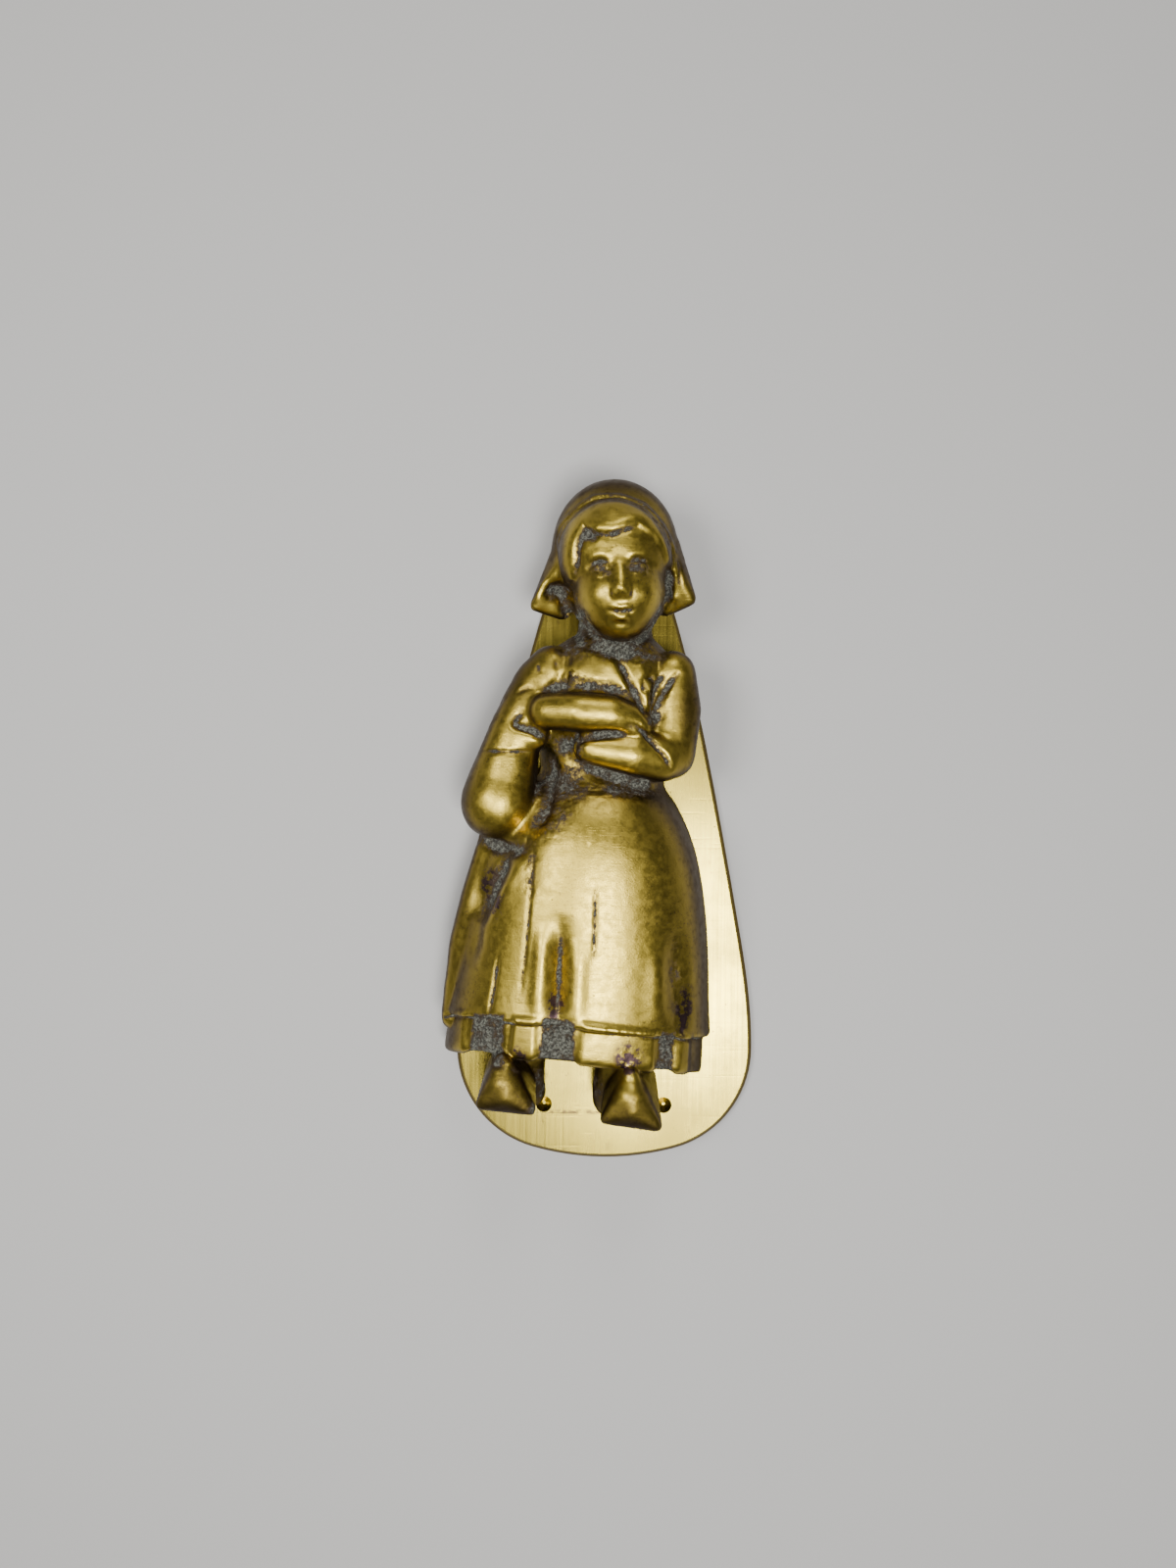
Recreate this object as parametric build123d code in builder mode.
"""Figural letter clip: a hollow brass girl, sprung on a pin against a pear-shaped back plate.

Millimetres. The plate lies in XY with its face up +Z, and +Y runs up the plate to the figure's head.
The origin is the centre of the hanging hole, on the plate's back face.
"""

import os
from math import asin, cos, degrees, radians, sin, tan

from build123d import *

# ---- Back plate ----
PLATE_LENGTH = 122.0
PLATE_WIDTH = 56.2
PLATE_THICK = 2.2
PLATE_BEVEL = 0.8
WIDEST_UP = 21.0  # height of the widest point above the bottom end
BOTTOM_RADIUS = 51.0
TOP_RADIUS = 9.6
TOP_TAPER = 16.0  # degrees from the axis, where each side meets the top round
SIDE_POINTS = ((2.7, 44.7), (7.7, 71.2), (15.2, 102.9))  # in from the widest point, above the bottom end
HANG_RADIUS = 2.25
HANG_BELOW_TOP = 7.5

# ---- Hinge ----
HINGE_BELOW_HOLE = 27.5
PIN_ABOVE_PLATE = 8.6
PIN_RADIUS = 1.5
PIN_FIT = 0.05  # radial clearance in the bracket's ears
PIN_HEAD_LIP = 0.9  # how far each head stands proud of the pin
PIN_HEAD_THICK = 0.9
EAR_THICK = 1.6
EAR_WALL = 1.8  # round the pin
EAR_INSIDE = 8.0  # inner face of each ear from the middle
BRACKET_BASE = 1.6
BRACKET_LENGTH = 13.0
BRACKET_BEND = 1.2
RIVET_RADIUS = 1.2
RIVET_FIT = 0.02
RIVET_HEAD_LIP = 0.9
RIVET_HEAD_HIGH = 0.9
RIVET_PITCH = 7.6
RIVET_SINK_LIP = 0.7

# ---- Spring ----
WIRE_RADIUS = 0.6
COIL_GAP = 0.9  # between the pin and the wire
COIL_SIDE_GAP = 1.0  # between the coil and each lug
WHOLE_TURNS = 4
UPPER_LEG = 9.5
LOWER_LEG_DROP = 19.6  # degrees below +Y, down to the plate
LEG_OFF_BACK = 1.4  # degrees between the upper leg and the figure's back plane
LEG_CLEAR = 0.05

# ---- Figure: across (u), up from the hinge (v) and out from its flat back (w) ----
SIDE_PLAY = 5.0  # degrees that the worn hinge lets the figure swing to either side
BACK_BELOW_PIN = 1.7
BASE_LEAN = 15.0  # degrees that the hem, the band and the soles rise towards the front
HEM_V = -61.0
BAND_V = -68.4
FLOOR_V = -65.2  # inside of the wall that closes the hollow under the hem
SOLE_V = -78.5
LUG_SIDE_GAP = 0.6  # between each lug and its ear
LUG_THICK = 2.8
LUG_WALL = 1.6  # round the end of the pin's slot
LUG_ROOT = 12.0  # how far into the chest each lug is cast
SLOT_SPARE = 0.1  # beyond what the side play needs
SLOT_FIT = 0.08
GRIP_U = 11.4
GRIP_V = -76.8
HEEL_GAP = 0.88  # between the heels and the plate at the grip pins
GRIP_RADIUS = 0.8
GRIP_TIP = 0.2
GRIP_SEAT = 3.0
GRIP_FIT = 0.01
GRIP_CLEAR = 0.05
DIMPLE_RADIUS = 1.5
DIMPLE_DEEP = 1.0
DIMPLE_TIP = 0.3

# Height v, half width and depth of the body and of its hollow, as half ellipses on the back
TORSO = ((9.5, 8.0, 10.5), (6.0, 11.8, 12.5), (0.0, 14.6, 14.5), (-8.0, 14.2, 14.5), (-15.0, 12.4, 13.6))
SKIRT = ((-14.0, 12.2, 13.4), (-20.0, 15.6, 16.4), (-28.0, 19.4, 18.6), (-38.0, 21.9, 19.6),
         (-50.0, 23.8, 20.0), (HEM_V, 24.9, 20.8, BASE_LEAN))
BAND = ((HEM_V + 1.0, 24.2, 19.4, BASE_LEAN), (BAND_V, 24.5, 19.6, BASE_LEAN))
CHEST_HOLLOW = ((5.0, 10.6, 9.4), (0.0, 12.6, 11.6), (-8.0, 12.0, 11.4), (-16.0, 10.4, 11.2))
SKIRT_HOLLOW = ((-15.0, 10.0, 11.0), (-20.0, 12.8, 13.6), (-28.0, 16.6, 15.8), (-38.0, 19.1, 16.8),
                (-50.0, 21.0, 17.2), (FLOOR_V, 21.4, 16.8, BASE_LEAN))
NECK = ((4.0, 6.9, 11.0), (14.0, 6.9, 11.0))
GROOVE_HALF = 4.9
GROOVE_SPARE = 0.3  # between the top of the coil and the groove's roof, for the rising leg
GROOVE_TOP_V = 12.0

# Limbs: both ends' (u, v, w) and radii
LIMBS = (
    ((12.3, 4.0, 6.6), (13.0, -10.0, 8.6), 3.8, 3.6),  # right upper arm
    ((12.4, -10.8, 9.2), (-3.0, -9.5, 13.4), 3.1, 2.9),  # right forearm, crossed below
    ((-12.0, 3.0, 6.6), (-16.0, -9.0, 8.6), 3.9, 3.7),  # left upper arm
    ((-13.0, -5.4, 10.8), (6.0, -4.6, 14.6), 3.4, 3.0),  # left forearm, crossed above
)
# Eggs: middle (u, v, w), radius and half length up the figure
BAG = ((-17.3, -19.3, 9.0), 7.0, 8.0)
HEAD_PLACE = Location((-0.8, 21.5, 0), (0, 0, 8.0))
BONNET = ((0, 4.0, 4.0), 11.3, 12.4)
FACE = ((0.2, -2.6, 13.4), 8.3, 9.9)
POCKET = ((0, 3.0, 0), 8.0, 9.0)
WING = ((8.0, 4.0), (14.8, -4.9), (7.0, -7.0))
WING_BACK = 3.0
WING_FRONT = 8.0
# Clog sections, from the heel to the toe: w, half width and height
CLOG_U = 11.2
CLOG = ((0.0, 5.0, 12.5), (20.0, 5.0, 9.2), (24.0, 3.2, 6.4))

hinge_y = -HINGE_BELOW_HOLE
bottom_y = HANG_BELOW_TOP - PLATE_LENGTH
pin_z = PLATE_THICK + PIN_ABOVE_PLATE
recline = degrees(asin((PIN_ABOVE_PLATE - BACK_BELOW_PIN - HEEL_GAP) / -GRIP_V))
swing = Location((0, hinge_y, pin_z), (0, 0, -SIDE_PLAY))
figure_place = swing * Location((0, 0, 0), (recline, 0, 0)) * Location((0, 0, -BACK_BELOW_PIN))
ear_outside = EAR_INSIDE + EAR_THICK
ear_radius = PIN_RADIUS + EAR_WALL
lug_outside = EAR_INSIDE - LUG_SIDE_GAP
lug_inside = lug_outside - LUG_THICK
coil_radius = PIN_RADIUS + COIL_GAP + WIRE_RADIUS
groove_deep = BACK_BELOW_PIN + coil_radius + WIRE_RADIUS + GROOVE_SPARE


def half_ellipse(v, half_width, depth, lean=0.0):
    """Face of a half ellipse that stands on the figure's back at height v and leans up to the front."""
    away = (0, -cos(radians(lean)), sin(radians(lean)))
    with BuildSketch(Plane(origin=(0, v, 0), x_dir=(1, 0, 0), z_dir=away)) as profile:
        with BuildLine():
            Line((-half_width, 0), (half_width, 0))
            EllipticalCenterArc((0, 0), half_width, depth, arc_size=180)
        make_face()
    return profile.sketch


def body_of(sections, mode=Mode.ADD):
    """Smooth body through half ellipses (v, half width, depth and lean)."""
    loft([half_ellipse(*section) for section in sections], mode=mode)


def egg(place, radius, half_length, mode=Mode.ADD):
    """Egg round the y axis of its place."""
    with BuildSketch(Plane(place)) as half:
        with BuildLine():
            EllipticalCenterArc((0, 0), radius, half_length, -90, arc_size=180)
            Line((0, half_length), (0, -half_length))
        make_face()
    revolve(half.sketch, axis=Axis(place.position, Plane(place).y_dir), mode=mode)


def limb(start, end, radius_start, radius_end):
    """Round limb with ball ends from start to end."""
    along = Vector(*end) - Vector(*start)
    square = Plane(origin=start, z_dir=along)
    lean = degrees(asin((radius_start - radius_end) / along.length))
    with BuildSketch(Plane(origin=start, x_dir=square.x_dir, z_dir=-square.y_dir)) as half:
        with BuildLine():
            low = CenterArc((0, 0), radius_start, -90, 90 + lean)
            high = CenterArc((0, along.length), radius_end, lean, 90 - lean)
            Line(low @ 1, high @ 0)
            Line(high @ 1, low @ 0)
        make_face()
    revolve(half.sketch, axis=Axis(start, along))


# ---- Back plate: arcs at both ends, joined by one curved side ----
half_plate = PLATE_WIDTH / 2
corner_radius = (BOTTOM_RADIUS**2 - half_plate**2 - (BOTTOM_RADIUS - WIDEST_UP) ** 2) / (
    2 * (BOTTOM_RADIUS - half_plate)
)
bottom_centre = Vector(0, bottom_y + BOTTOM_RADIUS)
corner_centre = Vector(half_plate - corner_radius, bottom_y + WIDEST_UP)
corner_start = bottom_centre + (corner_centre - bottom_centre).normalized() * BOTTOM_RADIUS
widest = Vector(half_plate, corner_centre.Y)
top_y = bottom_y + PLATE_LENGTH
taper = Vector(-sin(radians(TOP_TAPER)), cos(radians(TOP_TAPER)))
side_end = Vector(0, top_y - TOP_RADIUS) + Vector(taper.Y, -taper.X) * TOP_RADIUS
rivet_spots = [(0, hinge_y + dy) for dy in (-RIVET_PITCH / 2, RIVET_PITCH / 2)]
with BuildPart() as back_plate:
    with BuildSketch(Plane.XY) as plate_face:
        with BuildLine() as half_outline:
            RadiusArc((0, bottom_y), corner_start, -BOTTOM_RADIUS)
            RadiusArc(corner_start, widest, -corner_radius)
            Spline(widest, *[(half_plate - x, bottom_y + y) for x, y in SIDE_POINTS], side_end,
                   tangents=((0, 1), taper))
            RadiusArc(side_end, (0, top_y), -TOP_RADIUS)
            mirror(about=Plane.YZ)
        make_face()
    extrude(amount=PLATE_THICK)
    chamfer(back_plate.faces().sort_by(Axis.Z)[-1].outer_wire().edges(), PLATE_BEVEL)
    with Locations((0, 0, PLATE_THICK)):
        Hole(HANG_RADIUS)
    with Locations(*[Location((*spot, 0), (180, 0, 0)) for spot in rivet_spots]):
        CounterSinkHole(RIVET_RADIUS, RIVET_RADIUS + RIVET_SINK_LIP)
    with Locations(*[(x, hinge_y + GRIP_V, PLATE_THICK - DIMPLE_DEEP) for x in (-GRIP_U, GRIP_U)]):
        Cone(DIMPLE_TIP, DIMPLE_RADIUS, DIMPLE_DEEP, align=(Align.CENTER, Align.CENTER, Align.MIN),
             mode=Mode.SUBTRACT)
back_plate.part.label = "back_plate"

# ---- Hinge bracket: a channel riveted to the plate, with an ear at each side ----
base_top = PLATE_THICK + BRACKET_BASE
with BuildPart() as hinge_bracket:
    with BuildSketch(Plane((-ear_outside, hinge_y, 0), x_dir=(0, 1, 0), z_dir=(1, 0, 0))) as ear_side:
        with BuildLine():
            ThreePointArc((ear_radius, pin_z), (0, pin_z + ear_radius), (-ear_radius, pin_z))
            Polyline((-ear_radius, pin_z), (-ear_radius, base_top + ear_radius / 2),
                     (-BRACKET_LENGTH / 2, base_top), (-BRACKET_LENGTH / 2, PLATE_THICK),
                     (BRACKET_LENGTH / 2, PLATE_THICK), (BRACKET_LENGTH / 2, base_top),
                     (ear_radius, base_top + ear_radius / 2), (ear_radius, pin_z))
        make_face()
    extrude(amount=2 * ear_outside)
    with Locations((0, hinge_y, base_top)):
        Box(2 * EAR_INSIDE, BRACKET_LENGTH, 2 * PIN_ABOVE_PLATE,
            align=(Align.CENTER, Align.CENTER, Align.MIN), mode=Mode.SUBTRACT)
    fillet(hinge_bracket.edges().filter_by(Axis.Y).group_by(Axis.Z)[0], BRACKET_BEND)
    with Locations(Location((0, hinge_y, pin_z), (0, 90, 0))):
        Cylinder(PIN_RADIUS + PIN_FIT, 3 * ear_outside, mode=Mode.SUBTRACT)
    with Locations(*[(*spot, base_top) for spot in rivet_spots]):
        Hole(RIVET_RADIUS)
hinge_bracket.part.label = "hinge_bracket"

# ---- Rivets: domed over the bracket, hammered into the countersinks behind the plate ----
shank = RIVET_RADIUS - RIVET_FIT
rivet_head = RIVET_RADIUS + RIVET_HEAD_LIP
dome_radius = (rivet_head**2 + RIVET_HEAD_HIGH**2) / (2 * RIVET_HEAD_HIGH)
with BuildPart() as bracket_rivets:
    with Locations(*rivet_spots):
        Cylinder(shank, base_top, align=(Align.CENTER, Align.CENTER, Align.MIN))
        Cone(shank + RIVET_SINK_LIP, shank, RIVET_SINK_LIP,
             align=(Align.CENTER, Align.CENTER, Align.MIN))
    for x, y in rivet_spots:
        with BuildSketch(Plane((x, y, base_top), x_dir=(1, 0, 0), z_dir=(0, -1, 0))):
            with BuildLine():
                RadiusArc((rivet_head, 0), (0, RIVET_HEAD_HIGH), -dome_radius)
                Polyline((0, RIVET_HEAD_HIGH), (0, 0), (rivet_head, 0))
            make_face()
        revolve(axis=Axis((x, y, 0), (0, 0, 1)))
bracket_rivets.part.label = "bracket_rivets"

# ---- Hinge pin: runs in the ears, with a riveted head outside each ----
pin_half = ear_outside + PIN_FIT
pin_head = PIN_RADIUS + PIN_HEAD_LIP
pin_end = pin_half + PIN_HEAD_THICK
cap_radius = (pin_head**2 + PIN_HEAD_THICK**2) / (2 * PIN_HEAD_THICK)
with BuildPart() as hinge_pin:
    with BuildSketch(Plane((0, hinge_y, pin_z), x_dir=(1, 0, 0), z_dir=(0, -1, 0))):
        with BuildLine():
            RadiusArc((pin_end, 0), (pin_half, pin_head), -cap_radius)
            Polyline((pin_half, pin_head), (pin_half, PIN_RADIUS), (-pin_half, PIN_RADIUS),
                     (-pin_half, pin_head))
            RadiusArc((-pin_half, pin_head), (-pin_end, 0), -cap_radius)
            Line((-pin_end, 0), (pin_end, 0))
        make_face()
    revolve(axis=Axis((0, hinge_y, pin_z), (1, 0, 0)))
hinge_pin.part.label = "hinge_pin"

# ---- Torsion spring: a coil round the pin, one leg on the plate and one under the figure's neck ----
leave_lower = 270.0 - LOWER_LEG_DROP
leave_upper = 90.0 + recline + LEG_OFF_BACK
turns = WHOLE_TURNS + (leave_lower - leave_upper) / 360.0
coil_length = 2 * (lug_inside - COIL_SIDE_GAP - WIRE_RADIUS)
coil_reach = (coil_radius + WIRE_RADIUS) * cos(radians(LOWER_LEG_DROP))
lower_leg = (PIN_ABOVE_PLATE - coil_reach - LEG_CLEAR) / sin(radians(LOWER_LEG_DROP))
start_radial = (0, cos(radians(leave_lower)), sin(radians(leave_lower)))
coil_start = Plane((-coil_length / 2, hinge_y, pin_z), x_dir=start_radial, z_dir=(1, 0, 0))
with BuildPart() as torsion_spring:
    with BuildLine() as wire_path:
        coil = Helix(coil_length / turns, coil_length, coil_radius, lefthand=True)
        Line(coil @ 0 - (coil % 0) * lower_leg, coil @ 0)
        Line(coil @ 1, coil @ 1 + (coil % 1) * UPPER_LEG)
    with BuildSketch(Plane(coil @ 0 - (coil % 0) * lower_leg, z_dir=coil % 0)):
        Circle(WIRE_RADIUS)
    sweep(path=wire_path.line, is_frenet=True)
torsion_spring.part = torsion_spring.part.moved(coil_start.location)
torsion_spring.part.label = "torsion_spring"

# ---- Figure: a hollow casting, open at the back, with two lugs on the hinge pin ----
slot_half = lug_outside * sin(radians(SIDE_PLAY)) + SLOT_SPARE
slot_wide = PIN_RADIUS + SLOT_FIT
lug_half = slot_half + slot_wide + LUG_WALL
with BuildPart() as figure:
    body_of(TORSO)
    body_of(SKIRT)
    body_of(BAND)
    body_of(NECK)
    for limb_ends in LIMBS:
        limb(*limb_ends)
    egg(Location(BAG[0]), BAG[1], BAG[2])
    for centre, radius, half_length in (BONNET, FACE):
        egg(HEAD_PLACE * Location(centre), radius, half_length)
    with BuildSketch(Plane(HEAD_PLACE * Location((0, 0, WING_BACK)))):
        with BuildLine() as wing_line:
            Polyline(*WING, close=True)
        make_face()
        mirror(about=Plane.YZ)
    extrude(amount=WING_FRONT - WING_BACK)
    for side in (-1, 1):
        for w, half_width, height in CLOG:
            sole_v = SOLE_V + w * tan(radians(BASE_LEAN))
            with BuildSketch(Plane.XY.offset(w)):
                with BuildLine():
                    Polyline((side * CLOG_U - half_width, sole_v), (side * CLOG_U + half_width, sole_v),
                             (side * CLOG_U, sole_v + height), close=True)
                make_face()
        loft(ruled=True)
    split(bisect_by=Plane.XY)
    body_of(CHEST_HOLLOW, mode=Mode.SUBTRACT)
    body_of(SKIRT_HOLLOW, mode=Mode.SUBTRACT)
    with Locations((0, GROOVE_TOP_V, 0)):
        Box(2 * GROOVE_HALF, GROOVE_TOP_V, groove_deep, align=(Align.CENTER, Align.MAX, Align.MIN),
            mode=Mode.SUBTRACT)
    egg(HEAD_PLACE * Location(POCKET[0]), POCKET[1], POCKET[2], mode=Mode.SUBTRACT)
    for side in (-1, 1):
        with BuildSketch(Plane.YZ.offset(side * (lug_inside + LUG_THICK / 2))):
            with Locations((0, BACK_BELOW_PIN)):
                Circle(lug_half)
                Rectangle(2 * lug_half, LUG_ROOT - BACK_BELOW_PIN, align=(Align.CENTER, Align.MIN))
                SlotCenterToCenter(2 * slot_half, 2 * slot_wide, mode=Mode.SUBTRACT)
        extrude(amount=LUG_THICK / 2, both=True)
    with Locations(*[(x, GRIP_V, 0) for x in (-GRIP_U, GRIP_U)]):
        Cylinder(GRIP_RADIUS + GRIP_FIT, GRIP_SEAT, align=(Align.CENTER, Align.CENTER, Align.MIN),
                 mode=Mode.SUBTRACT)
figure.part = figure.part.moved(figure_place)
figure.part.label = "figure"

# ---- Grip pins: points in the heels that bite the paper ----
tip_rise = (GRIP_CLEAR - PIN_ABOVE_PLATE - GRIP_V * sin(radians(recline))) / cos(radians(recline))
grip_point = -BACK_BELOW_PIN - tip_rise
with BuildPart() as grip_pins:
    with Locations(*[(x, GRIP_V, 0) for x in (-GRIP_U, GRIP_U)]):
        Cylinder(GRIP_RADIUS, GRIP_SEAT, align=(Align.CENTER, Align.CENTER, Align.MIN))
        Cone(GRIP_TIP, GRIP_RADIUS, grip_point, align=(Align.CENTER, Align.CENTER, Align.MAX))
grip_pins.part = grip_pins.part.moved(figure_place)
grip_pins.part.label = "grip_pins"

os.makedirs("parts", exist_ok=True)
export_step(back_plate.part, "parts/back_plate.step")
export_step(hinge_bracket.part, "parts/hinge_bracket.step")
export_step(bracket_rivets.part, "parts/bracket_rivets.step")
export_step(hinge_pin.part, "parts/hinge_pin.step")
export_step(torsion_spring.part, "parts/torsion_spring.step")
export_step(figure.part, "parts/figure.step")
export_step(grip_pins.part, "parts/grip_pins.step")
